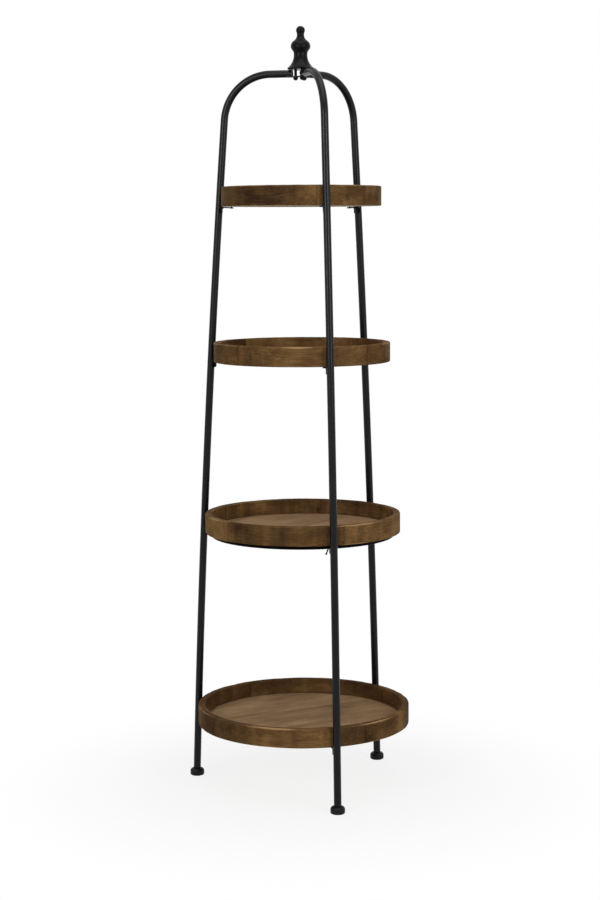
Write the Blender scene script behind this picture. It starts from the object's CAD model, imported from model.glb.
"""Tiered plant stand: four round wooden trays between three bowed tube legs, under a turned finial.

The CAD frame carries every piece. Each operator makes one kind of piece as the eye sees it.
"""

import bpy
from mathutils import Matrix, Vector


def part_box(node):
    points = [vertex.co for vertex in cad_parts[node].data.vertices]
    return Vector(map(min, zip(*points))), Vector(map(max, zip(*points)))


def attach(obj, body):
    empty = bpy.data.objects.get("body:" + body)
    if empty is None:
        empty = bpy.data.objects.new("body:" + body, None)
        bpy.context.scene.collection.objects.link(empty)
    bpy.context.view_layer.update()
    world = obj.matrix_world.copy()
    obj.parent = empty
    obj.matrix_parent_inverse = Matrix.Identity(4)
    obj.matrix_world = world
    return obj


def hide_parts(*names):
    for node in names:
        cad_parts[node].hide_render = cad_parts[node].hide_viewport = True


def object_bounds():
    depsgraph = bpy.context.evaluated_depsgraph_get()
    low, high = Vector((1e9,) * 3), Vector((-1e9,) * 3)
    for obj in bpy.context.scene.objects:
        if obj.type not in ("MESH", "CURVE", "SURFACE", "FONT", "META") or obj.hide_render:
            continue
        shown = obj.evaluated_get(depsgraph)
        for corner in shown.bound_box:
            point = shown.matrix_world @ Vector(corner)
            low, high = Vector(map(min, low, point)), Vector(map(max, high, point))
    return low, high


bl_info = {
    "name": "Tiered Plant Stand",
    "version": (1, 0, 0),
    "blender": (4, 5, 0),
    "location": "3D View > Sidebar > Plant Stand",
    "description": "Makes the visible pieces of a four-tray plant stand on its CAD frame",
    "category": "Add Mesh",
}

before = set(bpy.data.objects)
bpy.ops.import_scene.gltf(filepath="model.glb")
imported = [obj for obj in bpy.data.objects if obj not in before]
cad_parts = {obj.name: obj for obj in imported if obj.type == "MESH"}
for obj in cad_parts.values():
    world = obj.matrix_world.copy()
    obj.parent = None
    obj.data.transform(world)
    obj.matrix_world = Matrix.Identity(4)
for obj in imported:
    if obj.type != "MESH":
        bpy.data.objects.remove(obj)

import math

import bpy
import numpy as np
from bpy.props import FloatProperty, FloatVectorProperty, IntProperty, PointerProperty
from mathutils import Matrix, Vector

CAD_BOX = [list(corner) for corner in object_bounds()]

MM = 0.001
GAP = 0.3 * MM  # between pieces that touch
TURN = 2 * math.pi

# The legs' directions from the stand's axis in degrees, and the trays from the top down.
LEGS = {"front": -90, "right": 30, "left": 150}
TRAYS = ("top", "upper", "lower", "bottom")
# One longer screw has worked loose and hangs at a slant under this tray, at this leg.
LOOSE_SCREW = ("lower", "front")
LOOSE_TURN, LOOSE_AXIS = math.radians(28), (-0.29, 0.96, 0)

# The stand's own axis is upright through the middle of the hoop.
HOOP_LOW, HOOP_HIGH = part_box("hoop")
AXIS_Y = (HOOP_LOW.y + HOOP_HIGH.y) / 2
FINIAL_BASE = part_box("finial")[0].z

# Each stave's shade from 0, darkest, to 1, and where the first stave of a rim starts. Angles in
# these tables are in degrees from the front leg.
STAVE_SHADES = {
    "top": (0.42, 0.50, 0.46, 0.3),
    "upper": (0.40, 0.54, 0.38, 0.48),
    "lower": (0.53, 0.38, 0.44, 0.45, 0.36),
    "bottom": (0.40, 0.34, 0.36, 0.44),
}
FIRST_JOINTS = {"top": -5.6, "upper": 28.9, "lower": 7.4, "bottom": 17.4}
# Clouds of darker or lighter stain: angle, half width in degrees, shade.
CLOUDS = {
    "top": (
        (-9, 7, 0.24), (-34, 12, -0.2), (-58, 12, -0.16), (-80, 9, -0.12), (52, 3, -0.16),
        (33, 2, -0.12),
    ),
    "upper": (
        (-52, 6, -0.16), (-42, 12, -0.13), (-80, 12, -0.14), (-20, 13, 0.10), (60, 5, 0.12),
        (-146, 8, -0.03), (165, 40, -0.08),
    ),
    "lower": (
        (-79, 8, 0.08), (-51, 10, -0.14), (-30, 4, -0.08), (-17, 3, 0.08), (45, 10, 0.08),
        (170, 40, -0.1),
    ),
    "bottom": (
        (-15, 14, 0.10), (-48, 12, -0.14), (-78, 9, -0.16), (11, 6, -0.14), (22, 7, -0.16),
        (48, 4, 0.18), (123, 14, -0.1),
    ),
}
# Knots and streaks: angle, height in the rim, half length, half height, all in mm, and shade.
MARKS = {
    "top": ((17, 18, 2, 6, -0.3), (20, 14, 2, 6, 0.15), (42, 30, 2, 10, -0.25)),
    "upper": (
        (-51, 20, 3, 7, -0.4), (-45, 27, 7, 2, -0.25), (-35, 31, 3, 2, -0.2),
        (-150, 25, 5, 10, -0.3), (55, 14, 3, 5, 0.15),
    ),
    "lower": ((-70, 20, 5, 6, 0.3), (33, 22, 2, 2, 0.35), (153, 15, 4, 8, -0.35)),
    "bottom": ((46, 21, 1.6, 8, 0.4), (49.5, 21, 1.6, 8, 0.35), (-150, 28, 6, 5, 0.15)),
}
# Where hands have rubbed a rim's edges: angle, half width in degrees, wear.
RUBBED = {
    "top": ((-50, 30, 0.4), (40, 30, 0.4)),
    "upper": ((-20, 7, 1), (58, 12, 0.5), (-100, 25, 0.5)),
    "lower": ((17, 12, 1), (-81, 7, 0.9), (-160, 30, 0.3)),
    "bottom": ((-33, 11, 1), (26, 11, 0.7), (-90, 15, 0.3)),
}
# How far upright bands show in each rim's wood.
BANDS = {"top": 0.35, "upper": 0.3, "lower": 0.7, "bottom": 0.3}
# The stain gathers in a stave's ends: half width in degrees, shade.
STAVE_END = (0.6, -0.1)
# The direction of the grain in each tray's board, and each board's shade before its figure.
GRAIN_DIRECTIONS = {"top": 70, "upper": -25, "lower": 40, "bottom": 13}
BOARD_SHADES = {"top": 0.05, "upper": 0.05, "lower": 0.17, "bottom": 0.05}
PLANK_WIDTH = 118 * MM  # of the planks that the boards are glued up from

WOOD_SPECULAR = 0.03  # an oiled stain hardly shines
# A node's input has its number where names repeat. A Mix node's two colours are 6 and 7, and a
# Map Range node takes its input 1 to its input 3, and its input 2 to its input 4.
MIX_A, MIX_B = 6, 7
FRAME_SIDE = 36  # mm, the longer side of the camera's frame


def linear(colour):
    """Linear red, green and blue of an sRGB hex colour."""
    value = np.array([int(colour[i : i + 2], 16) for i in (1, 3, 5)]) / 255
    return tuple(np.where(value <= 0.04045, value / 12.92, ((value + 0.055) / 1.055) ** 2.4))


def size(name, description, millimetres):
    """A length property, with its default in millimetres."""
    return FloatProperty(
        name=name, description=description, default=millimetres * MM, min=0, unit="LENGTH"
    )


def colour(name, description, value):
    """A colour property, with its default as sRGB hex."""
    return FloatVectorProperty(
        name=name, description=description, default=linear(value), min=0, max=1, subtype="COLOR"
    )


def degrees(name, description, value):
    """An angle property, with its default in degrees."""
    return FloatProperty(
        name=name, description=description, default=math.radians(value), subtype="ANGLE"
    )


# ---------------------------------------------------------------- settings


class LegSizes(bpy.types.PropertyGroup):
    """Sizes of the tube legs."""

    tube_radius: size("Tube radius", "Outside radius of the leg tube", 8)
    tube_wall: size("Tube wall", "Thickness of the leg tube's wall", 1.5)
    bend_radius: size("Bend radius", "Radius of the shoulder bend, to the tube's middle", 103)
    bend_reach: size("Bend reach", "From the stand's axis to the middle of the bend", 67)
    hub_height: size("Hub height", "Height of the level tube ends", 1550.3)
    hub_reach: size("Hub reach", "From the stand's axis to each tube's inner end", 18)
    foot_height: size("Foot height", "Height of the tube's lower end", 18.6)
    lean_top: degrees("Lean at the bend", "How far the leg leans in where the bend starts", 4.3)
    lean_foot: degrees("Lean at the foot", "How far the leg leans in at the foot", 1.85)
    lug_width: size("Lug width", "Width of the flat lug at the tube's inner end", 13)
    lug_thickness: size("Lug thickness", "Thickness of the flat lug", 3)


class FootSizes(bpy.types.PropertyGroup):
    """Sizes of the levelling feet."""

    pad_radius: size("Pad radius", "Radius of the pad's side", 15.6)
    pad_base: size("Pad base", "Radius of the pad's flat underside", 10)
    pad_top: size("Pad top", "Radius of the pad's flat top", 8.6)
    pad_height: size("Pad height", "Height of the pad", 16.5)
    stem_radius: size("Stem radius", "Radius of the stem over its thread", 4)
    stem_pitch: size("Thread pitch", "Rise of the stem's thread in one turn", 1.25)
    stem_top: size("Stem top", "Height of the stem's upper end", 42)


class TraySizes(bpy.types.PropertyGroup):
    """Sizes that the four trays share."""

    rim_height: size("Rim height", "Height of the rim", 42)
    rim_thickness: size("Rim thickness", "Thickness of the rim", 14.5)
    rim_round: size("Rim rounding", "Radius of the rim's long edges", 2.4)
    rebate: size("Rebate", "Depth of the step that holds the board", 6.3)
    board_thickness: size("Board thickness", "Thickness of the board", 9)
    wear: size("Wear", "Deepest dent along a rim's edge", 0.7)


class BracketSizes(bpy.types.PropertyGroup):
    """Sizes of the brackets, their screws and the hoop."""

    thickness: size("Thickness", "Thickness of the bracket's strip", 2.5)
    width: size("Width", "Width of the bracket's strip", 14)
    reach: size("Reach", "From the tube to the tab's tip", 27.5)
    drop: size("Drop", "How far the strip runs down the leg", 15)
    bend: size("Bend", "Outside radius of the strip's bend", 6.5)
    corner: size("Corner", "Radius of the tab's corners", 4)
    weld: size("Weld", "Radius of the weld beads", 1.7)
    screw_reach: size("Screw reach", "From the tube to the tray screw", 23.3)
    screw_head: size("Screw head", "Radius of the tray screw's head", 2.9)
    hoop_rod: size("Hoop rod", "Radius of the hoop's rod", 3.5)
    hoop_inset: size("Hoop inset", "How far inside its CAD ring the rod lies", 1.5)


class HubSizes(bpy.types.PropertyGroup):
    """Sizes of the hub bolts and the finial."""

    bolt_circle: size("Bolt circle", "From the stand's axis to each hub bolt", 11)
    bolt_radius: size("Bolt radius", "Radius of the hub bolts", 3)
    bolt_head: size("Bolt head", "Radius of the hub bolts' heads", 5.2)
    bolt_head_height: size("Bolt head height", "Height of the hub bolts' heads", 6)
    bolt_bite: size("Bolt bite", "Length of bolt inside the finial", 15)
    finial_lip: size("Finial lip", "Radius of the finial's lip", 28.4)
    finial_waist: size("Finial waist", "Radius of the finial's waist", 14.6)
    finial_bulb: size("Finial bulb", "Radius of the finial's bulb", 21.1)
    finial_neck: size("Finial neck", "Radius of the finial's neck", 7.6)
    finial_ball: size("Finial ball", "Radius of the ball on top", 9.6)


class Finishes(bpy.types.PropertyGroup):
    """Colours of the stand's finishes."""

    powder_coat: colour("Powder coat", "Black coat on the steel", "#07070b")
    finial_paint: colour("Finial paint", "Black paint on the finial", "#0a0a0a")
    nylon: colour("Nylon", "Black nylon of the feet", "#0f0f0f")
    zinc: colour("Zinc", "Zinc plate on the foot stems", "#b4b3ad")
    bolt_black: colour("Bolt black", "Black oxide on bolts and screws", "#0e0e0e")
    stain_dark: colour("Dark stain", "Stain where the wood drinks most", "#3c2a1a")
    stain_middle: colour("Middle stain", "Stain over most of the rims", "#5f4529")
    stain_light: colour("Light stain", "Stain where the wood drinks least", "#85653e")
    worn_edge: colour("Worn edge", "Wood where the rim's edge is rubbed", "#a5835a")
    board_dark: colour("Dark board", "Darker figure of the boards", "#937455")
    board_light: colour("Light board", "Lighter figure of the boards", "#c7a47d")
    bare_wood: colour("Bare wood", "Unstained underside of the boards", "#c2ab8a")


class StageSettings(bpy.types.PropertyGroup):
    """Where the camera stands, and how bright the studio is."""

    distance: size("Camera distance", "From the camera to the stand's axis", 4116)
    height: size("Camera height", "Height of the camera", 1219.5)
    lens: FloatProperty(
        name="Focal length", description="On a 36 mm high frame", default=76.0, unit="CAMERA"
    )
    azimuth: degrees("Azimuth", "Camera's way round, from the front leg to the right leg", -16.64)
    pitch: degrees("Pitch", "How far the camera looks up, which is negative", -6.612)
    yaw: degrees("Yaw", "How far right of the stand's axis the camera looks", -0.073)
    roll: degrees("Roll", "How far the camera leans to its left", -0.275)
    side_power: FloatProperty(
        name="Side lights", description="Power of each side lamp", default=40, unit="POWER"
    )
    side_angle: degrees("Side angle", "From the camera's direction to each side lamp's", 38)
    top_power: FloatProperty(
        name="Top light", description="Power of the lamp overhead", default=38, unit="POWER"
    )
    sky: FloatProperty(name="Sky", description="Brightness of the walls", default=0.16, min=0)
    seed: IntProperty(name="Seed", description="Start of the random draws", default=7)


# ---------------------------------------------------------------- meshes


def bezier(start, first_pull, second_pull, end, steps):
    """Points of a cubic curve from start to end, drawn towards its two pulls."""
    t = np.linspace(0, 1, steps)[:, None]
    start, first_pull, second_pull, end = map(np.array, (start, first_pull, second_pull, end))
    pulled = 3 * t * (1 - t) ** 2 * first_pull + 3 * t**2 * (1 - t) * second_pull
    return (1 - t) ** 3 * start + pulled + t**3 * end


def circle(radius, sides):
    """Points of a circle: radius times (cos, sin) of equal steps of a turn."""
    angle = np.arange(sides) * TURN / sides
    return radius * np.stack([np.cos(angle), np.sin(angle)], 1)


def quarter(centre, radii, start, steps):
    """Points of a quarter ellipse: centre + radii times (cos, sin), from start in degrees."""
    angle = math.radians(start) + np.linspace(0, math.pi / 2, steps)
    return np.array(centre) + np.array(radii) * np.stack([np.cos(angle), np.sin(angle)], 1)


def around(reach, height, angle):
    """Points at a reach from the stand's axis and a height, in the directions of an angle."""
    x, y = reach * np.cos(angle), reach * np.sin(angle) + AXIS_Y
    return np.stack(np.broadcast_arrays(x, y, height), -1)


def placed(reach, across, height, direction):
    """Points at a reach from the stand's axis in a direction, and a distance across it."""
    angle = math.radians(direction)
    x = reach * math.cos(angle) - across * math.sin(angle)
    y = reach * math.sin(angle) + across * math.cos(angle) + AXIS_Y
    return np.stack(np.broadcast_arrays(x, y, height), -1)


def shell(rings, ends=None):
    """A closed skin over rings of points, an array (rings, points in a ring, 3).

    Squares join each point to the next in its ring and in the next ring. With ends, a fan of
    triangles closes the first and the last ring onto these two points. Without, the last ring
    joins the first. The faces are turned if the volume under them comes out negative.
    """
    count, sides = rings.shape[:2]
    index = np.arange(count * sides).reshape(count, sides)
    beside = np.roll(index, -1, axis=1)
    above, above_beside = np.roll(index, -1, axis=0), np.roll(beside, -1, axis=0)
    rows = slice(None) if ends is None else slice(0, count - 1)
    quads = np.stack([index, beside, above_beside, above], -1)[rows].reshape(-1, 4)
    points = rings.reshape(-1, 3)
    triangles = np.empty((0, 3), int)
    if ends is not None:
        low = np.stack([beside[0], index[0], np.full(sides, len(points))], -1)
        high = np.stack([index[-1], beside[-1], np.full(sides, len(points) + 1)], -1)
        points, triangles = np.vstack([points, ends]), np.vstack([low, high])
    corners = np.vstack([quads[:, [0, 1, 2]], quads[:, [0, 2, 3]], triangles])
    a, b, c = (points[corners[:, i]] for i in range(3))
    if np.einsum("ij,ij->i", a, np.cross(b, c)).sum() < 0:
        quads, triangles = quads[:, ::-1], triangles[:, ::-1]
    return points, quads, triangles


def make_piece(name, shells, material, node, body="frame", flat_over=35):
    """A mesh object from closed skins that stands for a CAD node and rides on its body."""
    points, faces, count = [], [], 0
    for skin, quads, triangles in shells:
        points.append(skin)
        faces += (quads + count).tolist() + (triangles + count).tolist()
        count += len(skin)
    mesh = bpy.data.meshes.new(name)
    mesh.from_pydata(np.vstack(points), [], faces)
    if mesh.validate():
        raise RuntimeError(f"the mesh of {name} had faults")
    mesh.shade_smooth()
    mesh.set_sharp_from_angle(angle=math.radians(flat_over))
    mesh.materials.append(material)
    made = bpy.data.objects.new(name, mesh)
    bpy.context.scene.collection.objects.link(made)
    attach(made, body)
    if node:
        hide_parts(node)
    return made


def add_attribute(made, name, values):
    """Writes one value or vector for each point of a piece."""
    kind, key = ("FLOAT_VECTOR", "vector") if values.ndim == 2 else ("FLOAT", "value")
    data = made.data.attributes.new(name, kind, "POINT").data
    data.foreach_set(key, np.ascontiguousarray(values, np.float32).ravel())


def carried(path, section, direction):
    """Rings of a section carried along a path, given as (reach, height) in one upright plane.

    A ring's point is the path's point, plus the section's first part along the path's normal in
    that plane, plus its second part across the plane.
    """
    step = np.gradient(path, axis=0)
    tangent = step / np.linalg.norm(step, axis=1)[:, None]
    reach = path[:, None, 0] + section[..., 0] * tangent[:, None, 1]
    height = path[:, None, 1] - section[..., 0] * tangent[:, None, 0]
    return placed(reach, section[..., 1], height, direction)


def rounded_bar(thickness, width, edge, steps=5):
    """A bar's section for each width: a quarter circle about each corner, inset by its radius."""
    angle = np.concatenate([np.linspace(i, i + 1, steps) for i in range(4)]) * math.pi / 2
    middle = np.repeat(np.arange(4) + 0.5, steps) * math.pi / 2
    x = np.sign(np.cos(middle)) * (thickness / 2 - edge) + edge * np.cos(angle)
    y = np.sign(np.sin(middle)) * (width[:, None] / 2 - edge) + edge * np.sin(angle)
    return np.stack(np.broadcast_arrays(x, y), -1)


def turned(profile, sides, centre, tilt=None):
    """Rings of a profile of (radius, height) turned about an upright axis at centre.

    A point is at radius times (cos, sin) of its angle, and at its height. tilt leans the whole.
    """
    xy = profile[:, None, :1] * circle(1, sides)[None]
    z = np.broadcast_to(profile[:, None, 1:], (len(profile), sides, 1))
    points = np.concatenate([xy, z], -1)
    if tilt is not None:
        points = points @ np.array(tilt).T
    return points + np.array(centre)


def turned_shell(profile, sides, centre):
    """A turned solid whose profile starts and ends on its axis, at its first and last heights."""
    return shell(turned(profile[1:-1], sides, centre), turned(profile[[0, -1]], 1, centre)[:, 0])


def bead(path, radius, phase):
    """A weld bead along points: a tube that swells by an eighth each 1.5 mm, with round ends."""
    along = np.linalg.norm(path - path[0], axis=1)
    share = along / along[-1]
    ripple = 1 + 0.12 * np.abs(np.sin(math.pi * along / (1.5 * MM) + phase))
    radii = radius * ripple * np.sqrt(np.clip(1 - (2 * share - 1) ** 8, 0.02, 1))
    tangent = (path[-1] - path[0]) / np.linalg.norm(path[-1] - path[0])
    side = np.cross(tangent, [0.31, 0.57, 0.76])
    side /= np.linalg.norm(side)
    ring = circle(1, 12)
    section = ring[:, :1] * side + ring[:, 1:] * np.cross(tangent, side)
    return shell(path[:, None] + radii[:, None, None] * section[None], path[[0, -1]])


# ---------------------------------------------------------------- shapes of this stand


def furthest(node):
    """How far from the stand's axis the furthest point of a CAD node lies."""
    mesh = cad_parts[node].data
    points = np.empty(len(mesh.vertices) * 3, np.float32)
    mesh.vertices.foreach_get("co", points)
    points = points.reshape(-1, 3)
    return float(np.hypot(points[:, 0], points[:, 1] - AXIS_Y).max())


def lean_about(direction, angle):
    """A turn that leans a piece outwards, in a leg's direction, by an angle."""
    direction = math.radians(direction)
    return Matrix.Rotation(-angle, 3, (-math.sin(direction), math.cos(direction), 0))


def leg_line(sizes, bow_steps=72, bend_steps=56, run_steps=10):
    """Reach and height of a leg's middle line from the foot to the hub.

    A parabola whose end tangents meet half way up, an arc about the bend's centre, a level run.
    """
    centre = np.array([sizes.bend_reach, sizes.hub_height - sizes.bend_radius])
    angle = np.linspace(sizes.lean_top, math.pi / 2, bend_steps)
    bend = centre + sizes.bend_radius * np.stack([np.cos(angle), np.sin(angle)], 1)
    half = (bend[0, 1] - sizes.foot_height) / 2
    middle = bend[0] + half * np.array([math.tan(sizes.lean_top), -1])
    foot = middle + half * np.array([math.tan(sizes.lean_foot), -1])
    t = np.linspace(0, 1, bow_steps)[:, None]
    bow = (1 - t) ** 2 * foot + 2 * t * (1 - t) * middle + t**2 * bend[0]
    reach = np.linspace(sizes.bend_reach, sizes.hub_reach, run_steps)[1:]
    run = np.stack([reach, np.full(run_steps - 1, sizes.hub_height)], 1)
    return np.vstack([bow, bend[1:], run])


def leg_at(sizes, height):
    """Reach of the leg's middle line at a height of its bow, and its lean there."""
    bow_points = 60  # all of them below the bend
    line = leg_line(sizes)[:bow_points]
    step = np.gradient(line, axis=0)
    slant = np.arctan2(-step[:, 0], step[:, 1])
    return np.interp(height, line[:, 1], line[:, 0]), np.interp(height, line[:, 1], slant)


def tray_underside(tray):
    """Height of a tray's underside, from its board's CAD node."""
    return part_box(f"tray_{tray}_board")[0].z


def bracket_frame(tray, legs, brackets):
    """A function from (inwards from the tube's face, up along the leg) to (reach, height).

    The tab's top touches the tray where its bend ends, and it is square to the leaning leg.
    """
    face = legs.tube_radius + GAP
    slant = leg_at(legs, tray_underside(tray))[1]
    height = tray_underside(tray) - GAP + (face + brackets.bend) * math.sin(slant)
    reach = leg_at(legs, height)[0]
    sine, cosine = math.sin(slant), math.cos(slant)

    def place(inward, up):
        out = -(face + inward)
        return np.stack([reach + out * cosine - up * sine, height + out * sine + up * cosine], -1)

    return place, slant


def lug_shell(legs, direction, hole_reach, hole_radius):
    """A flat lug with one round end and a hole: rings over its outline and its hole.

    The outline lies, in each direction from the hole, at the nearest of its two sides, its far
    end and the circle of its round end.
    """
    half, overlap, tip_reach, bevel = legs.lug_width / 2, 12 * MM, 3.5 * MM, 0.35 * MM
    angle = (np.arange(72) + 0.5) * TURN / 72
    cosine, sine = np.cos(angle), np.sin(angle)
    far = legs.hub_reach + overlap - hole_reach
    round_centre = tip_reach + half - hole_reach
    sides = half / np.maximum(np.abs(sine), 1e-9)
    end = np.where(cosine > 0, far / np.maximum(cosine, 1e-9), 1)
    arc = round_centre * cosine + np.sqrt(half**2 - (round_centre * sine) ** 2)
    nose = np.where(arc * cosine < round_centre, arc, 1)
    outline = np.minimum(np.minimum(sides, end), nose)
    low = legs.hub_height - legs.tube_radius
    high = low + legs.lug_thickness
    rows = [
        (hole_radius, low + bevel),
        (hole_radius + bevel, low),
        (outline - bevel, low),
        (outline, low + bevel),
        (outline, high - bevel),
        (outline - bevel, high),
        (hole_radius + bevel, high),
        (hole_radius, high - bevel),
    ]
    return shell(
        np.array([placed(hole_reach + r * cosine, r * sine, z, direction) for r, z in rows])
    )


def rim_section(trays):
    """A rim's section as (inwards from its outer face, up from its underside), with round edges.

    Each corner is a quadratic curve between the points one radius away along its two sides. The
    faces between get a point each 3 mm, so that wear can move them and stain can shade them.
    """
    height, thick, step = trays.rim_height, trays.rim_thickness, trays.rebate
    shelf, edge, crisp, spacing = trays.board_thickness + GAP, trays.rim_round, 0.5 * MM, 3 * MM
    corners = np.array(
        [
            (0, 0, edge * 0.7),
            (thick - step, 0, crisp),
            (thick - step, shelf, crisp),
            (thick, shelf, crisp),
            (thick, height, edge),
            (0, height, edge),
        ]
    )
    here, radius = corners[:, :2], corners[:, 2:]
    back, ahead = np.roll(here, 1, axis=0) - here, np.roll(here, -1, axis=0) - here
    first = here + radius * back / np.linalg.norm(back, axis=1)[:, None]
    last = here + radius * ahead / np.linalg.norm(ahead, axis=1)[:, None]
    t = np.linspace(0, 1, 5)[None, :, None]
    curve = (1 - t) ** 2 * first[:, None] + 2 * t * (1 - t) * here[:, None] + t**2 * last[:, None]
    closed = np.vstack([curve.reshape(-1, 2), curve[:1, 0]])
    along = np.concatenate([[0], np.cumsum(np.linalg.norm(np.diff(closed, axis=0), axis=1))])
    extra = np.arange(0, along[-1], spacing)
    extra = extra[np.abs(extra[:, None] - along).min(axis=1) > 0.8 * MM]
    places = np.union1d(along[:-1], extra)
    return np.stack([np.interp(places, along, closed[:, i]) for i in range(2)], 1)


def stave_shell(trays, radius, base, start, span, random):
    """One stave: the rim's section carried round an arc, with worn edges.

    A point moves away from its edge by the dents, which are bell curves along the arc, times how
    near it is to the upper edges. The last half millimetre at each end is drawn in a little.
    """
    section = rim_section(trays)
    thick, height = trays.rim_thickness, trays.rim_height
    first, last = start + GAP / 2 / radius, start + span - GAP / 2 / radius
    ease, inset, spacing = np.array([0, 0.5 * MM / radius]), 2.5 * MM / radius, 3 * MM
    run = np.linspace(first + inset, last - inset, int(span * radius / spacing))
    angles = np.concatenate([first + ease, run, last - ease[::-1]])
    along = ((angles - start) * radius)[:, None]

    def near(inward, up):
        """1 at an edge of the section, falling evenly to 0 at 4 mm from it."""
        away = np.hypot(section[:, 0] - inward, section[:, 1] - up)
        return np.clip(1 - away / (4 * MM), 0, 1)

    outer, inner, low = near(0, height), near(thick, height), near(0, 0)
    dents = []
    for _ in range(3):
        places = random.uniform(0, along[-1, 0], 9)
        widths = random.uniform(3, 16, 9) * MM
        depths = random.uniform(0.1, 1, 9) ** 2 * trays.wear
        dents.append((depths * np.exp(-(((along - places) / widths) ** 2))).sum(1)[:, None])
    waves, lengths = random.uniform(0, TURN, 4), np.array([170, 90, 47, 23]) * MM
    heights = np.array([3, 2, 1, 0.7]) * 0.05 * MM
    sway = (np.sin(TURN * along / lengths + waves) * heights).sum(1)[:, None]
    inward = section[:, 0] + dents[0] * outer - dents[1] * inner + dents[2] * low
    up = section[:, 1] - dents[0] * outer - dents[1] * inner
    up = up - np.abs(sway) * np.clip(section[:, 1] / height, 0, 1) ** 2
    outline = np.stack([inward, up], -1)
    core = np.array([thick / 2 - 0.2 * MM, 0.55 * height])
    away = outline[[0, -1]] - core
    outline[[0, -1]] -= 0.4 * MM * away / np.linalg.norm(away, axis=-1, keepdims=True)
    rings = around(radius - outline[..., 0], base + outline[..., 1], angles[:, None])
    ends = around(radius - core[0], base + core[1], angles[[0, -1]])
    wear = np.tile(np.maximum(outer, inner) + 0.6 * low, len(angles))
    return shell(rings, ends), np.append(wear, [0, 0])


def plank_place(points, base, middle, reach):
    """Where points lie in the plank that a stave was sawn from: along it, across it and up.

    The plank lies square to the direction of the stave's middle, at a reach from the axis.
    """
    x, y = points[:, 0], points[:, 1] - AXIS_Y
    along = -x * math.sin(middle) + y * math.cos(middle)
    across = x * math.cos(middle) + y * math.sin(middle) - reach
    return np.stack([along, across, points[:, 2] - base], 1)


def finial_profile(hub):
    """The finial's (radius, height) from the middle of its base to the top of its ball.

    It flares down to a lip, comes in to a waist, swells to a bulb and ends in a ball on a neck.
    The waist, bulb and neck are joined by curves that are upright at both ends.
    """
    lip, waist, bulb, neck = hub.finial_lip, hub.finial_waist, hub.finial_bulb, hub.finial_neck
    ball, collar, slope = hub.finial_ball, 8.2 * MM, math.radians(38)
    flare_low, waist_low, waist_high = 3.3 * MM, 30 * MM, 33.5 * MM
    bulb_height, neck_height, ball_height, ball_rise = 48 * MM, 73.5 * MM, 82.2 * MM, 9.2 * MM

    def lip_curve(steps, *corners):
        """A curve whose points are given in mm in from the lip, and up."""
        return bezier(*[(lip - inward * MM, up * MM) for inward, up in corners], steps)

    def upright(start, end, pull, steps):
        """A curve that leaves its start and meets its end upright, drawn pull along it."""
        return bezier(start, (start[0], start[1] + pull), (end[0], end[1] - pull), end, steps)

    foot = bezier((0, 0), (lip * 0.4, 0), (lip * 0.7, 0), (lip - 2.4 * MM, 0), 6)
    edge = lip_curve(8, (2.1, 0), (0.8, 0.6), (0, 1.4), (0, 2.3))
    turn = lip_curve(4, (0, 2.4), (0, 2.8), (0, 3.0), (0.3, 3.3))
    rise = waist_low - flare_low
    pull = turn[-1] + 0.35 * rise * np.array([-math.cos(slope), math.sin(slope)])
    flare = bezier(turn[-1], pull, (waist, waist_low - 0.4 * rise), (waist, waist_low), 28)
    swell = upright((waist, waist_high), (bulb, bulb_height), 5.8 * MM, 24)
    shoulder = upright((bulb, bulb_height), (neck, neck_height), 14.5 * MM, 34)
    angle = np.linspace(-math.acos(collar / ball), math.pi / 2, 28)
    top = np.stack([ball * np.cos(angle), ball_height + ball_rise * np.sin(angle)], 1)
    top[-1, 0] = 0
    return np.vstack([foot, edge, turn[1:], flare[1:], swell, shoulder[1:], top])


def bolt_shell(hub, centre):
    """A hub bolt on its domed head, with a six-sided socket in the dome.

    Each ring is a circle, and in the socket a circle times one over the cosine of the angle from
    the middle of a flat, which makes it six-sided.
    """
    head, height, radius = hub.bolt_head, hub.bolt_head_height, hub.bolt_radius
    length = FINIAL_BASE + hub.bolt_bite - centre[2]
    socket, socket_floor, shoulder, sides = 0.42 * head, -height + 2.6 * MM, 1.6 * MM, 48
    dome = quarter((0, -shoulder), (head, height - shoulder), -90, 14)
    profile = np.vstack(
        [
            [(socket * 0.98, socket_floor), (socket, -height + 0.5 * MM)],
            [(socket * 1.2, -height + 0.25 * MM)],
            dome[dome[:, 0] > socket * 1.3],
            [(head, -0.3 * MM), (head - 0.3 * MM, 0), (radius, 0)],
            [(radius, length - 0.5 * MM), (radius - 0.5 * MM, length)],
        ]
    )
    rings = turned(profile, sides, (0, 0, 0))
    angle = np.arange(sides) * TURN / sides
    rings[:2, :, :2] /= np.cos(np.mod(angle, TURN / 6) - TURN / 12)[None, :, None]
    return shell(rings + centre, np.array([(0, 0, socket_floor), (0, 0, length)]) + centre)


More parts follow.
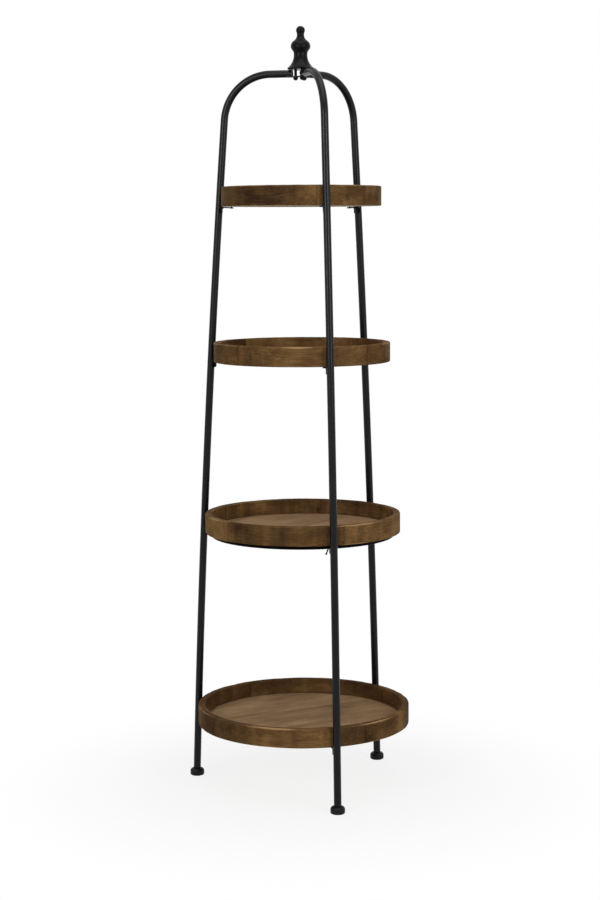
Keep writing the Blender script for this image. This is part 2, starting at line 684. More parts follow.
def screw_shell(radius, length, centre, tilt):
    """A countersunk screw, head down and nearly flush, with a cross in its head.

    The head's face is a low dome, less the cross, which is as deep as a smooth step of the
    distance from either of its two bars. Its cone meets a pointed shank.
    """
    dome, cross, bar_width, bar_length = 0.5 * MM, 1.1 * MM, 0.62 * MM, 2.1 * MM
    shank, cone = radius * 0.52, 0.3 * MM
    rows = np.linspace(0.04, 1, 16)[:, None]
    x, y = np.moveaxis(rows[..., None] * circle(radius, 40), -1, 0)
    bars = [
        np.clip((bar_width - np.abs(a)) / (0.25 * MM), 0, 1)
        * np.clip((bar_length - np.abs(b)) / (0.5 * MM), 0, 1)
        for a, b in ((x, y), (y, x))
    ]
    face = np.stack([x, y, cross * np.maximum(*bars) - dome * (1 - rows**2)], -1)
    neck = [(radius, cone), (shank, cone + radius - shank)]
    tip = [(shank, length - 3 * MM), (shank * 0.3, length)]
    rings = np.concatenate([face, turned(np.array(neck + tip), 40, (0, 0, 0))])
    ends = np.array([(0, 0, cross - dome), (0, 0, length + 0.4 * MM)])
    turn = np.array(tilt).T
    return shell(rings @ turn + centre, ends @ turn + centre)


# ---------------------------------------------------------------- materials


def wire(tree, node, inputs):
    """Sets a node's inputs, each to a value, or by a link from a socket or another node."""
    for key, value in inputs.items():
        if isinstance(value, bpy.types.Node):
            value = next(socket for socket in value.outputs if socket.enabled)
        if isinstance(value, bpy.types.NodeSocket):
            tree.links.new(value, node.inputs[key])
        else:
            node.inputs[key].default_value = value


def add_node(tree, kind, inputs=None, stops=(), **settings):
    """Adds a node with its settings, inputs and, on a colour ramp, stops of (place, colour)."""
    made = tree.nodes.new(f"ShaderNode{kind}")
    for key, value in settings.items():
        setattr(made, key, value)
    wire(tree, made, inputs or {})
    for _ in stops[2:]:
        made.color_ramp.elements.new(0.5)
    for i, (place, value) in enumerate(stops):
        made.color_ramp.elements[i].position = place
        made.color_ramp.elements[i].color = (*value, 1)
    return made


def new_material(name):
    """A material, the tree that holds it, and its shader."""
    made = bpy.data.materials.new(name)
    made.use_nodes = True
    return made, made.node_tree, made.node_tree.nodes["Principled BSDF"]


def times(factor, tint):
    """A colour made darker or lighter by a factor."""
    return tuple(factor * c for c in tint)


def coated(name, tint, roughness, specular, grain, depth, metallic):
    """A metal or moulded surface: fine grain roughens it, and clouds 45 mm wide vary its gloss.

    grain is the size of the grain in metres and depth the height of its bumps.
    """
    made, tree, shader = new_material(name)
    place = add_node(tree, "TexCoord").outputs["Object"]
    fine = add_node(tree, "TexNoise", {"Vector": place, "Scale": 1 / grain, "Detail": 3.0})
    broad = add_node(tree, "TexNoise", {"Vector": place, "Scale": 22.0, "Detail": 4.0})
    gloss = {"Value": broad, 1: 0.3, 2: 0.7, 3: roughness - 0.04, 4: roughness + 0.04}
    gloss = add_node(tree, "MapRange", gloss)
    stops = [(0.35, times(0.72, tint)), (0.65, tint)]
    shade = add_node(tree, "ValToRGB", {"Fac": broad}, stops)
    bump = add_node(tree, "Bump", {"Height": fine, "Distance": depth, "Strength": 0.6})
    wire(tree, shader, {"Base Color": shade, "Roughness": gloss, "Normal": bump})
    wire(tree, shader, {"Metallic": metallic, "Specular IOR Level": specular})
    return made


def wood_figure(tree, place, heart, ring_width, streak, knots, pull):
    """The pattern of sawn softwood at a place in its plank: along, across and up, in metres.

    Growth rings, ring_width apart, are circles about the tree's heart, which is given across and
    up and lies outside the plank, bent by a slow noise. Fibres are a noise that is streak wide,
    drawn out along the plank, and bands are one drawn out across it. A metre has room for as
    many knots as knots says, and pull makes blotches and knots longer the smaller it is.
    Returns rings, fibres, blotches, bands and knots.
    """
    slow = add_node(tree, "Mapping", {"Vector": place, "Scale": (0.3, 1.0, 1.0)})
    wander = {"Vector": slow, "Scale": 11.0, "Detail": 2.0, "Roughness": 0.5}
    bend = add_node(tree, "TexNoise", wander).outputs["Color"]
    shift = {0: bend, 1: (0.0, 0.02, 0.03), 2: place}
    shifted = add_node(tree, "VectorMath", shift, operation="MULTIPLY_ADD")
    middle = add_node(tree, "VectorMath", {0: shifted, 1: (0.0, *heart)}, operation="ADD")
    growth = {"Vector": middle, "Scale": TURN / 20 / ring_width, "Distortion": 0.6}
    growth |= {"Detail": 2.0, "Detail Scale": 0.6}
    kind = {"wave_type": "RINGS", "rings_direction": "X", "wave_profile": "SAW"}
    rings = add_node(tree, "TexWave", growth, **kind).outputs["Fac"]
    fine = add_node(tree, "Mapping", {"Vector": place, "Scale": (7.0, 1 / streak, 1 / streak)})
    fibres = add_node(tree, "TexNoise", {"Vector": fine, "Scale": 1.0, "Detail": 5.0})
    long = add_node(tree, "Mapping", {"Vector": place, "Scale": (pull, 1.0, 1.3)})
    stain = {"Vector": long, "Scale": 19.0, "Detail": 5.0, "Roughness": 0.6}
    blotches = add_node(tree, "TexNoise", stain)
    tall = add_node(tree, "Mapping", {"Vector": place, "Scale": (48.0, 5.0, 5.0)})
    upright = {"Vector": tall, "Scale": 1.0, "Detail": 2.0, "Roughness": 0.6}
    bands = add_node(tree, "TexNoise", upright)
    cells = add_node(tree, "TexVoronoi", {"Vector": long, "Scale": knots})
    few = {0: cells.outputs["Color"], 1: 0.62}
    chosen = add_node(tree, "Math", few, operation="GREATER_THAN")
    near = {"Value": cells, 1: 0.02, 2: 0.16, 3: 1.0, 4: 0.0}
    spot = add_node(tree, "MapRange", near, interpolation_type="SMOOTHSTEP")
    knot = add_node(tree, "Math", {0: chosen, 1: spot}, operation="MULTIPLY")
    return rings, fibres, blotches, bands, knot


def weighted(tree, start, parts):
    """start plus each value, less a half, times its weight."""
    total = start
    for value, weight in parts:
        part = {0: value, 1: weight, 2: -weight / 2}
        part = add_node(tree, "Math", part, operation="MULTIPLY_ADD")
        total = add_node(tree, "Math", {0: part, 1: total}, operation="ADD")
    return total


def wood_surface(tree, shader, tint, figure, dull, ring_relief, depth):
    """Joins a wood's colour to its shader, with gloss from its blotches and a fine relief.

    dull is the roughness between the blotches, and depth the height of the raised fibres.
    """
    rings, fibres, blotches = figure
    gloss = add_node(tree, "MapRange", {"Value": blotches, 1: 0.3, 2: 0.7, 3: dull, 4: 0.6})
    relief = weighted(tree, 0.5, [(fibres, 1.0), (rings, ring_relief)])
    bump = add_node(tree, "Bump", {"Height": relief, "Distance": depth, "Strength": 0.5})
    wire(tree, shader, {"Base Color": tint, "Roughness": gloss, "Normal": bump})
    wire(tree, shader, {"Specular IOR Level": WOOD_SPECULAR})


def stained_fir(name, colours, shade, banding, offset, turn):
    """Fir, planed and stained brown: the soft wood drinks the stain unevenly, so it is blotched,
    its fibres show as fine streaks and its rubbed edges go pale.

    The streaks are drawn 3 mm wide, as finer ones don't show from across a room.
    """
    made, tree, shader = new_material(name)
    plank = add_node(tree, "Attribute", attribute_name="plank").outputs["Vector"]
    place = add_node(tree, "Mapping", {"Vector": plank, "Location": offset, "Rotation": turn})
    rings, fibres, blotches, bands, knot = wood_figure(
        tree, place.outputs[0], (0.01, 0.12), 6.5 * MM, 3 * MM, 7.0, 0.55
    )
    cloud = add_node(tree, "Attribute", attribute_name="cloud").outputs["Fac"]
    parts = [(rings, 0.07), (fibres, 0.55), (blotches, 1.1), (bands, banding), (knot, -0.45)]
    tone = weighted(tree, shade, parts)
    tone = add_node(tree, "Math", {0: tone, 1: cloud}, operation="ADD", use_clamp=True)
    dark, middle, light = colours.stain_dark, colours.stain_middle, colours.stain_light
    stops = [(0.02, times(0.6, dark)), (0.25, dark), (0.6, middle), (0.95, light)]
    stain = add_node(tree, "ValToRGB", {"Fac": tone}, stops)
    worn = add_node(tree, "Attribute", attribute_name="wear").outputs["Fac"]
    patchy = {"Vector": plank, "Scale": 38.0, "Detail": 5.0, "Roughness": 0.6}
    rub = add_node(tree, "TexNoise", patchy)
    rubbed = add_node(tree, "Math", {0: worn, 1: rub}, operation="MULTIPLY")
    pale = {"Value": rubbed, 1: 0.08, 2: 0.3, 3: 0.0, 4: 1.0}
    pale = add_node(tree, "MapRange", pale, interpolation_type="SMOOTHSTEP")
    edge = {"Factor": pale, MIX_A: stain, MIX_B: (*colours.worn_edge, 1)}
    tint = add_node(tree, "Mix", edge, data_type="RGBA")
    wood_surface(tree, shader, tint, (rings, fibres, blotches), 0.75, 0.3, 0.4 * MM)
    return made


def stained_board(name, colours, shade, direction, offset, inside):
    """Edge-glued fir boards under a thin taupe stain: calmer than the rims, with a faint long
    figure, a small change of tone from plank to plank, a pale bare underside, and a ragged dark
    line where stain has gathered along the rim, which lies at inside from the middle."""
    made, tree, shader = new_material(name)
    spot = add_node(tree, "TexCoord").outputs["Object"]
    turn = {"Vector": spot, "Location": offset, "Rotation": (0, 0, -math.radians(direction))}
    place = add_node(tree, "Mapping", turn).outputs[0]
    across = add_node(tree, "SeparateXYZ", {0: place}).outputs["Y"]
    counted = add_node(tree, "Math", {0: across, 1: PLANK_WIDTH}, operation="DIVIDE")
    number = add_node(tree, "Math", {0: counted}, operation="FLOOR")
    each = add_node(tree, "TexWhiteNoise", {"W": number}, noise_dimensions="1D")
    moved = add_node(tree, "CombineXYZ", {"X": each, "Y": number, "Z": 0.0})
    own = {0: moved, 1: (3.0, -PLANK_WIDTH, 0.0), 2: place}
    own = add_node(tree, "VectorMath", own, operation="MULTIPLY_ADD").outputs[0]
    rings, fibres, blotches, _, knot = wood_figure(
        tree, own, (-PLANK_WIDTH * 0.6, 0.05), 9 * MM, 3.5 * MM, 6.0, 0.4
    )
    parts = [(rings, 0.07), (fibres, 0.3), (blotches, 1.1), (knot, -0.9), (each, 0.18)]
    tone = weighted(tree, shade, parts)
    flat = {0: spot, 1: (0.0, AXIS_Y, 0.0)}
    flat = add_node(tree, "VectorMath", flat, operation="SUBTRACT")
    flat = add_node(tree, "VectorMath", {0: flat, 1: (1.0, 1.0, 0.0)}, operation="MULTIPLY")
    reach = add_node(tree, "VectorMath", {0: flat}, operation="LENGTH")
    ragged = add_node(tree, "Math", {0: blotches, 1: 0.03, 2: reach}, operation="MULTIPLY_ADD")
    corner = {"Value": ragged, 1: inside + 8 * MM, 2: inside + 15 * MM, 3: 0.0, 4: -0.6}
    corner = add_node(tree, "MapRange", corner, interpolation_type="SMOOTHSTEP")
    tone = add_node(tree, "Math", {0: tone, 1: corner}, operation="ADD", use_clamp=True)
    dark, light, bare = colours.board_dark, colours.board_light, (*colours.bare_wood, 1)
    stops = [(0.0, times(0.55, dark)), (0.3, dark), (0.8, light)]
    stain = add_node(tree, "ValToRGB", {"Fac": tone}, stops)
    up = add_node(tree, "NewGeometry").outputs["True Normal"]
    up = add_node(tree, "SeparateXYZ", {0: up}).outputs["Z"]
    under = add_node(tree, "Math", {0: up, 1: -0.5}, operation="LESS_THAN")
    plain = {"Factor": 0.5, MIX_A: bare, MIX_B: stain}
    plain = add_node(tree, "Mix", plain, data_type="RGBA", blend_type="MULTIPLY")
    plain = add_node(tree, "Mix", {"Factor": 0.75, MIX_A: plain, MIX_B: bare}, data_type="RGBA")
    tint = add_node(tree, "Mix", {"Factor": under, MIX_A: stain, MIX_B: plain}, data_type="RGBA")
    wood_surface(tree, shader, tint, (rings, fibres, blotches), 0.72, 0.25, 0.3 * MM)
    return made


def finish_for(name):
    """The material of that name, made once. Each is a real finish of the stand's plain parts.

    The numbers are its roughness, specular level, grain, height of the grain, and metallic.
    """
    if name in bpy.data.materials:
        return bpy.data.materials[name]
    colours = bpy.context.scene.stand_finishes
    plain = {
        # Satin powder coat: sprayed dry and baked, so it is black with a soft sheen and a faint
        # orange-peel grain, drawn 9 mm wide so that it keeps the tube's long highlights whole.
        "powder_coated_steel": (colours.powder_coat, 0.28, 0.19, 9 * MM, 0.012 * MM, 0),
        # The strip and rod get a thinner, flatter coat than the tube.
        "powder_coated_strip": (colours.powder_coat, 0.6, 0.03, 2 * MM, 0.02 * MM, 0),
        # Brushed-on satin paint over a casting: glossier, with soft lights on each swelling.
        "painted_casting": (colours.finial_paint, 0.32, 0.09, 3 * MM, 0.008 * MM, 0),
        # Moulded nylon: dull black with a fine spark-eroded grain.
        "moulded_nylon": (colours.nylon, 0.45, 0.16, 1 * MM, 0.02 * MM, 0),
        # Bright zinc plate: pale grey metal, a little clouded.
        "zinc_plated_steel": (colours.zinc, 0.34, 0.5, 1 * MM, 0.02 * MM, 1),
        # Black oxide: oiled, nearly matt black steel.
        "black_oxide_steel": (colours.bolt_black, 0.5, 0.06, 1 * MM, 0.02 * MM, 0),
    }
    return coated(name, *plain[name])


# ---------------------------------------------------------------- operators


class STAND_OT_legs(bpy.types.Operator):
    """Make the three bowed tube legs with the lugs at their inner ends"""

    bl_idname = "stand.legs"
    bl_label = "Legs"

    def execute(self, context):
        legs, hub = context.scene.stand_legs, context.scene.stand_hub
        line = leg_line(legs)
        outer, inner = circle(legs.tube_radius, 40), circle(legs.tube_radius - legs.tube_wall, 40)
        coat = finish_for("powder_coated_steel")
        for place, direction in LEGS.items():
            tube = [carried(line, outer, direction), carried(line, inner, direction)[::-1]]
            lug = lug_shell(legs, direction, hub.bolt_circle, hub.bolt_radius + GAP)
            skins = [shell(np.concatenate(tube)), lug]
            make_piece(f"bowed_leg_{place}", skins, coat, f"leg_{place}")
        return {"FINISHED"}


class STAND_OT_feet(bpy.types.Operator):
    """Make the pads, threaded stems and tube inserts of the three levelling feet"""

    bl_idname = "stand.feet"
    bl_label = "Levelling feet"

    def execute(self, context):
        feet, legs = context.scene.stand_feet, context.scene.stand_legs
        nylon, zinc = finish_for("moulded_nylon"), finish_for("zinc_plated_steel")
        for place, direction in LEGS.items():
            low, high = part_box(f"foot_{place}_pad")
            centre = np.array([(low.x + high.x) / 2, (low.y + high.y) / 2, 0])
            foot, pad, stem = f"foot_{place}", self.pad(feet, centre), self.stem(feet, centre)
            insert = self.insert(legs, direction, centre)
            make_piece(f"glide_{place}", [pad], nylon, f"{foot}_pad", foot)
            make_piece(
                f"threaded_stem_{place}", [stem], zinc, f"{foot}_stem", foot, 60
            )
            make_piece(f"tube_insert_{place}", [insert], nylon, f"{foot}_insert")
        return {"FINISHED"}

    def pad(self, feet, centre):
        """A button whose side rounds in at the base and domes over to its flat top."""
        base, side, top, height = feet.pad_base, feet.pad_radius, feet.pad_top, feet.pad_height
        side_low, side_high, socket_floor = 3.6 * MM, 9.6 * MM, 6 * MM
        socket, fillet, lead = feet.stem_radius + GAP, 0.2 * MM, 0.4 * MM
        profile = np.vstack(
            [
                [(0, 0), (base * 0.5, 0), (base - fillet, 0)],
                quarter((base, side_low), (side - base, side_low), -90, 14),
                quarter((top, side_high), (side - top, height - side_high), 0, 20),
                [(top - 0.6 * MM, height), (socket + lead, height), (socket, height - lead)],
                [(socket, socket_floor + fillet), (socket - fillet, socket_floor)],
                [(0, socket_floor)],
            ]
        )
        return turned_shell(profile, 72, centre)

    def stem(self, feet, centre):
        """A threaded rod: its radius falls and rises once in a pitch, and once round a turn."""
        low, high, tip, core, sides = 6.3 * MM, feet.stem_top, 0.8 * MM, 2.4 * MM, 36
        heights = np.linspace(low, high, int((high - low) / feet.stem_pitch * 7))[:, None]
        turns = heights / feet.stem_pitch - np.arange(sides) / sides
        groove = 0.62 * feet.stem_pitch * np.abs(2 * (turns - np.floor(turns)) - 1)
        taper = tip * (1 - np.clip((high - heights) / (1.2 * MM), 0, 1))
        radius = np.maximum(feet.stem_radius - groove - taper, core)
        x, y = radius * circle(1, sides)[:, 0], radius * circle(1, sides)[:, 1]
        rings = np.stack([x, y, np.broadcast_to(heights, x.shape)], -1)
        return shell(rings + centre, np.array([(0, 0, low), (0, 0, high)]) + centre)

    def insert(self, legs, direction, centre):
        """A flanged plug with a hole, leaning with the tube."""
        tube, hole, length = legs.tube_radius, 4.7 * MM, 22 * MM
        plug, flange = tube - legs.tube_wall - 0.35 * MM, -1.8 * MM
        profile = np.array(
            [
                (hole, flange),
                (tube - 0.5 * MM, flange),
                (tube, -1.4 * MM),
                (tube, -0.5 * MM),
                (tube - 0.2 * MM, -GAP),
                (plug, -GAP),
                (plug, length - 1 * MM),
                (plug - 0.6 * MM, length),
                (hole, length),
            ]
        )
        foot = (centre[0], centre[1], legs.foot_height)
        return shell(turned(profile, 48, foot, lean_about(direction, legs.lean_foot)))


class STAND_OT_brackets(bpy.types.Operator):
    """Make the twelve bent strip brackets, each with its two weld beads"""

    bl_idname = "stand.brackets"
    bl_label = "Brackets"

    def execute(self, context):
        legs, sizes = context.scene.stand_legs, context.scene.stand_brackets
        inward, up, section = self.strip(sizes)
        # The beads run up beside the strip, in the corner between it and the tube.
        bead_in, bead_up = np.full(40, -1.3 * MM), np.linspace(-14.5, -3.5, 40) * MM
        bead_across, coat = 6.1 * MM, finish_for("powder_coated_strip")
        for tray in TRAYS:
            place_in, _ = bracket_frame(tray, legs, sizes)
            path, run = place_in(inward, up), place_in(bead_in, bead_up)
            for place, direction in LEGS.items():
                ends = placed(path[[0, -1], 0], 0, path[[0, -1], 1], direction)
                skins = [shell(carried(path, section, direction), ends)]
                for side in (-1, 1):
                    weld = placed(run[:, 0], side * bead_across, run[:, 1], direction)
                    skins.append(bead(weld, sizes.weld, side))
                name = f"{tray}_{place}"
                make_piece(
                    f"tray_bracket_{name}", skins, coat, f"bracket_{name}"
                )
        return {"FINISHED"}

    def strip(self, sizes):
        """The strip's middle line, inwards and up, and its section, which narrows at the tip.

        It runs up the leg, round a quarter circle and inwards. The tip's width falls by twice
        the corner's radius times one less the cosine of a quarter turn.
        """
        half, bend, corner = sizes.thickness / 2, sizes.bend, sizes.corner
        arc = quarter((bend, -bend), (bend - half, bend - half), 90, 14)[::-1]
        drop, tip = np.linspace(-sizes.drop, -bend, 4)[:-1], np.linspace(0, math.pi / 2, 10)
        flat = sizes.reach - corner
        tab = np.concatenate([np.linspace(bend, flat, 6)[1:-1], flat + np.sin(tip) * corner])
        inward = np.concatenate([np.full(len(drop), half), arc[:, 0], tab])
        up = np.concatenate([drop, arc[:, 1], np.full(len(tab), -half)])
        width = np.full(len(inward), sizes.width)
        width[-len(tip) :] -= 2 * corner * (1 - np.cos(tip))
        return inward, up, rounded_bar(sizes.thickness, width, 0.5 * MM)


class STAND_OT_screws(bpy.types.Operator):
    """Make the twelve screws that hold the trays to their brackets"""

    bl_idname = "stand.screws"
    bl_label = "Tray screws"

    def execute(self, context):
        legs, sizes = context.scene.stand_legs, context.scene.stand_brackets
        black = finish_for("black_oxide_steel")
        for tray in TRAYS:
            place_in, slant = bracket_frame(tray, legs, sizes)
            reach, height = place_in(sizes.screw_reach, -sizes.thickness - 0.05 * MM)
            for place, direction in LEGS.items():
                tilt, out, length = lean_about(direction, slant), 0, 10.5 * MM
                if (tray, place) == LOOSE_SCREW:
                    tilt = Matrix.Rotation(LOOSE_TURN, 3, LOOSE_AXIS) @ tilt
                    out, length = 18.5 * MM, 19.5 * MM
                head = placed(reach, 0, height, direction) - np.array(tilt) @ (0, 0, out)
                skin = screw_shell(sizes.screw_head, length, head, tilt)
                make_piece(f"tray_screw_{tray}_{place}", [skin], black, None)
        return {"FINISHED"}


class STAND_OT_hoop(bpy.types.Operator):
    """Make the round rod hoop under the lower tray, with its butt weld and three weld beads"""

    bl_idname = "stand.hoop"
    bl_label = "Hoop"

    def execute(self, context):
        sizes = context.scene.stand_brackets
        rod, section = sizes.hoop_rod, circle(1, 16)
        radius = (HOOP_HIGH.x - HOOP_LOW.x) / 2 - rod - sizes.hoop_inset
        level, weld, swelling = HOOP_LOW.z + rod, math.radians(78), 0.3 * MM
        angle = np.arange(288)[:, None] * TURN / 288
        swollen = rod + swelling * np.exp(-(((angle - weld) * radius / (2.2 * MM)) ** 2))
        height = level + np.minimum(swollen * section[:, 1], rod)
        skins = [shell(around(radius + swollen * section[:, 0], height, angle))]
        across = np.linspace(-6, 6, 34) * MM
        reach = np.sqrt((radius + rod * 0.84) ** 2 - across**2)
        for direction in LEGS.values():
            path = placed(reach, across, level + rod * 0.55, direction)
            skins.append(bead(path, 1.1 * MM, direction))
        coat = finish_for("powder_coated_strip")
        make_piece("rod_hoop", skins, coat, "hoop")
        return {"FINISHED"}


class STAND_OT_rims(bpy.types.Operator):
    """Make the seventeen curved staves of the four rims"""

    bl_idname = "stand.rims"
    bl_label = "Rim staves"

    def execute(self, context):
        trays, colours = context.scene.stand_trays, context.scene.stand_finishes
        random = np.random.default_rng(context.scene.stand_stage.seed)
        for tray in TRAYS:
            shades, base = STAVE_SHADES[tray], tray_underside(tray)
            span, first = TURN / len(shades), math.radians(FIRST_JOINTS[tray] - 90)
            names = [f"{tray}_stave_{i + 1}" for i in range(len(shades))]
            radius = max(furthest(f"tray_{name}") for name in names)
            for i, (name, shade) in enumerate(zip(names, shades)):
                start = first + i * span
                skin, wear = stave_shell(trays, radius, base, start, span, random)
                offset = tuple(random.uniform(-2, 2, 3) * (1, 0.004, 0.004))
                turn = (0, random.uniform(-0.03, 0.03), random.uniform(-0.05, 0.05))
                wood = stained_fir(
                    f"stained_fir_{name}", colours, shade, BANDS[tray], offset, turn
                )
                made = make_piece(
                    f"rim_{name}", [skin], wood, f"tray_{name}"
                )
                points, middle = skin[0], start + span / 2
                reach = radius * math.cos(span / 2)
                add_attribute(made, "plank", plank_place(points, base, middle, reach))
                angle = np.degrees(np.arctan2(points[:, 0], AXIS_Y - points[:, 1]))
                ends = [(math.degrees(end) + 90, *STAVE_END) for end in (start, start + span)]
                cloud = self.bells(angle, (*CLOUDS[tray], *ends))
                cloud += self.marks(angle, points[:, 2] - base, radius, MARKS[tray])
                add_attribute(made, "wear", wear * (0.25 + self.bells(angle, RUBBED[tray])))
                add_attribute(made, "cloud", cloud)
        return {"FINISHED"}

    def bells(self, angle, spots):
        """The sum of a bell curve for each spot, over the angle from the front leg."""
        total = np.zeros(len(angle))
        for middle, half, shade in spots:
            total += shade * np.exp(-(((np.mod(angle - middle + 180, 360) - 180) / half) ** 2))
        return total

    def marks(self, angle, up, radius, marks):
        """The sum of a small oval bell for each mark, over the rim's length and height."""
        total = np.zeros(len(angle))
        for middle, height, half_long, half_high, shade in marks:
            away = np.radians(np.mod(angle - middle + 180, 360) - 180) * radius / (half_long * MM)
            total += shade * np.exp(-(away**2 + ((up - height * MM) / (half_high * MM)) ** 2))
        return total


class STAND_OT_boards(bpy.types.Operator):
    """Make the four round boards that lie in the rims"""

    bl_idname = "stand.boards"
    bl_label = "Boards"

    def execute(self, context):
        colours = context.scene.stand_finishes
        random = np.random.default_rng(context.scene.stand_stage.seed + 1)
        soft, lip = 0.6 * MM, 6 * MM  # its edges' radius, and how far the rim laps over it
        for tray in TRAYS:
            node = f"tray_{tray}_board"
            low, high = (corner.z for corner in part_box(node))
            radius = furthest(node)
            rows = np.linspace(0, radius - 2 * soft, 14)[:, None]
            profile = np.vstack(
                [
                    np.hstack([rows, np.full_like(rows, low)]),
                    quarter((radius - soft, low + soft), (soft, soft), -90, 5),
                    quarter((radius - soft, high - soft), (soft, soft), 0, 5),
                    np.hstack([rows[::-1], np.full_like(rows, high)]),
                ]
            )
            offset = (random.uniform(-2, 2), random.uniform(-0.3, 0.3), -float(low))
            shade, direction = BOARD_SHADES[tray], GRAIN_DIRECTIONS[tray]
            wood = stained_board(
                f"stained_board_{tray}", colours, shade, direction, offset, radius - lip
            )
            skin = turned_shell(profile, 144, (0, AXIS_Y, 0))
            make_piece(f"round_board_{tray}", [skin], wood, node)
        return {"FINISHED"}


class STAND_OT_bolts(bpy.types.Operator):
    """Make the three socket-headed bolts under the hub"""

    bl_idname = "stand.bolts"
    bl_label = "Hub bolts"

    def execute(self, context):
        legs, hub = context.scene.stand_legs, context.scene.stand_hub
        low = legs.hub_height - legs.tube_radius - GAP
        black = finish_for("black_oxide_steel")
        for place, direction in LEGS.items():
            skin = bolt_shell(hub, placed(hub.bolt_circle, 0, low, direction))
            make_piece(f"socket_bolt_{place}", [skin], black, f"hub_bolt_{place}")
        return {"FINISHED"}


class STAND_OT_finial(bpy.types.Operator):
    """Make the turned finial on top of the hub"""

    bl_idname = "stand.finial"
    bl_label = "Finial"

    def execute(self, context):
        skin = turned_shell(finial_profile(context.scene.stand_hub), 96, (0, AXIS_Y, FINIAL_BASE))
        paint = finish_for("painted_casting")
        make_piece("turned_finial", [skin], paint, "finial")
        return {"FINISHED"}


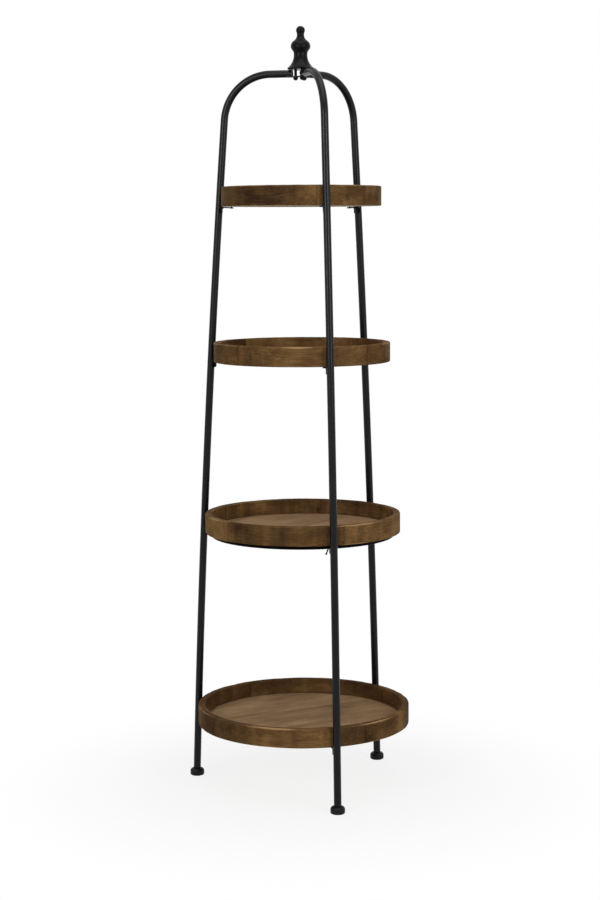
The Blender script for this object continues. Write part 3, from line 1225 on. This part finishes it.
class STAND_OT_stage(bpy.types.Operator):
    """Make the floor, the lamps, the sky and the camera"""

    bl_idname = "stand.stage"
    bl_label = "Stage"

    def execute(self, context):
        settings = context.scene.stand_stage
        self.floor(context)
        self.sky(context, settings)
        away, height, side_size = 3.6, 1.8, (0.8, 1.2)
        top_size, top_place = (2.4, 2.4), (-0.2, -0.9, 3.5)
        for name, side in (("left", -1), ("right", 1)):
            angle = settings.azimuth + side * settings.side_angle
            place = (away * math.sin(angle), -away * math.cos(angle), height)
            self.lamp(context, name, settings.side_power, side_size, place)
        self.lamp(context, "top", settings.top_power, top_size, top_place)
        self.camera(context, settings)
        context.scene.view_settings.view_transform = "Standard"
        return {"FINISHED"}

    def seen(self, tree):
        """1 for what the camera sees, straight or in gloss or glass, and 0 for other light."""
        path = add_node(tree, "LightPath").outputs
        first = {0: path["Is Camera Ray"], 1: path["Is Glossy Ray"]}
        first = add_node(tree, "Math", first, operation="ADD")
        both = {0: first, 1: path["Is Transmission Ray"]}
        return add_node(tree, "Math", both, operation="ADD", use_clamp=True)

    def floor(self, context):
        """A pale floor that keeps the shadow near the stand and is white further off."""
        half, near, far = 30, 0.2, 0.75
        mesh = bpy.data.meshes.new("floor")
        corners = [(-half, -half, 0), (half, -half, 0), (half, half, 0), (-half, half, 0)]
        mesh.from_pydata(corners, [], [(0, 1, 2, 3)])
        made, tree, shader = new_material("pale_floor")
        wire(tree, shader, {"Base Color": (0.8, 0.8, 0.8, 1), "Roughness": 0.9})
        wire(tree, shader, {"Specular IOR Level": 0.0})
        glow = add_node(tree, "Emission", {"Strength": self.seen(tree)})
        place = add_node(tree, "TexCoord").outputs["Object"]
        away = add_node(tree, "VectorMath", {0: place}, operation="LENGTH")
        white = {"Value": away, 1: near, 2: far, 3: 0.85, 4: 1.0}
        white = add_node(tree, "MapRange", white, interpolation_type="SMOOTHSTEP")
        shown = add_node(tree, "Math", {0: white, 1: self.seen(tree)}, operation="MULTIPLY")
        mix = add_node(tree, "MixShader", {0: shown, 1: shader, 2: glow})
        wire(tree, tree.nodes["Material Output"], {"Surface": mix})
        mesh.materials.append(made)
        floor = bpy.data.objects.new("floor", mesh)
        context.scene.collection.objects.link(floor)

    def sky(self, context, settings):
        """Grey walls for the light that falls on the stand, and white ones for the camera."""
        world = context.scene.world = bpy.data.worlds.new("studio")
        world.use_nodes = True
        tree = world.node_tree
        strength = {"Value": self.seen(tree), 1: 0.0, 2: 1.0, 3: settings.sky, 4: 1.0}
        strength = add_node(tree, "MapRange", strength)
        wire(tree, tree.nodes["Background"], {"Color": (1, 1, 1, 1), "Strength": strength})

    def lamp(self, context, name, power, sides, place):
        """A soft oblong lamp that faces the middle of the stand."""
        lamp = bpy.data.lights.new(name, "AREA")
        lamp.shape = "RECTANGLE"
        lamp.energy, lamp.size, lamp.size_y = power, *sides
        made = bpy.data.objects.new(name, lamp)
        made.location = place
        made.rotation_mode = "QUATERNION"
        away = made.location - Vector(np.mean(CAD_BOX, axis=0))
        made.rotation_quaternion = away.to_track_quat("Z", "Y")
        context.scene.collection.objects.link(made)

    def camera(self, context, settings):
        """The camera's axes are its right, its up and its back, turned by yaw, pitch and roll."""
        yaw, pitch, roll = settings.yaw, settings.pitch, settings.roll
        turn = np.array(Matrix.Rotation(settings.azimuth, 3, "Z"))
        level = np.array([math.cos(yaw), -math.sin(yaw), 0])
        ahead = math.cos(pitch) * np.array([math.sin(yaw), math.cos(yaw), math.tan(pitch)])
        upright = np.cross(level, ahead)
        right = level * math.cos(roll) + upright * math.sin(roll)
        up = upright * math.cos(roll) - level * math.sin(roll)
        whole = np.eye(4)
        whole[:3, :3] = turn @ np.stack([right, up, -ahead], 1)
        whole[:3, 3] = turn @ [0, -settings.distance, 0] + [0, AXIS_Y, settings.height]
        camera = bpy.data.cameras.new("camera")
        camera.lens, camera.sensor_width = settings.lens, FRAME_SIDE
        made = bpy.data.objects.new("camera", camera)
        made.matrix_world = Matrix(whole)
        context.scene.collection.objects.link(made)
        context.scene.camera = made


OPERATORS = (
    STAND_OT_legs,
    STAND_OT_feet,
    STAND_OT_brackets,
    STAND_OT_screws,
    STAND_OT_hoop,
    STAND_OT_rims,
    STAND_OT_boards,
    STAND_OT_bolts,
    STAND_OT_finial,
    STAND_OT_stage,
)

SETTINGS = {
    "stand_legs": LegSizes,
    "stand_feet": FootSizes,
    "stand_trays": TraySizes,
    "stand_brackets": BracketSizes,
    "stand_hub": HubSizes,
    "stand_finishes": Finishes,
    "stand_stage": StageSettings,
}


class STAND_PT_panel(bpy.types.Panel):
    """Lists the stand's operators and their settings"""

    bl_idname = "STAND_PT_panel"
    bl_label = "Plant Stand"
    bl_space_type = "VIEW_3D"
    bl_region_type = "UI"
    bl_category = "Plant Stand"

    def draw(self, context):
        for operator in OPERATORS:
            self.layout.operator(operator.bl_idname)
        for name, group in SETTINGS.items():
            box = self.layout.box()
            box.label(text=group.__doc__)
            for key in group.__annotations__:
                box.prop(getattr(context.scene, name), key)


def register():
    """Registers the classes and puts the settings on the scene."""
    for group in (*SETTINGS.values(), *OPERATORS, STAND_PT_panel):
        bpy.utils.register_class(group)
    for name, group in SETTINGS.items():
        setattr(bpy.types.Scene, name, PointerProperty(type=group))


def unregister():
    """Takes the settings and the classes away again."""
    for name in SETTINGS:
        delattr(bpy.types.Scene, name)
    for group in (STAND_PT_panel, *OPERATORS, *SETTINGS.values()):
        bpy.utils.unregister_class(group)


def main():
    """Makes the whole stand and its stage, and writes the two boxes to compare."""
    register()
    bpy.ops.stand.legs()
    bpy.ops.stand.feet()
    bpy.ops.stand.brackets()
    bpy.ops.stand.screws()
    bpy.ops.stand.hoop()
    bpy.ops.stand.rims()
    bpy.ops.stand.boards()
    bpy.ops.stand.bolts()
    bpy.ops.stand.finial()
    bpy.ops.stand.stage()


if __name__ == "__main__":
    main()
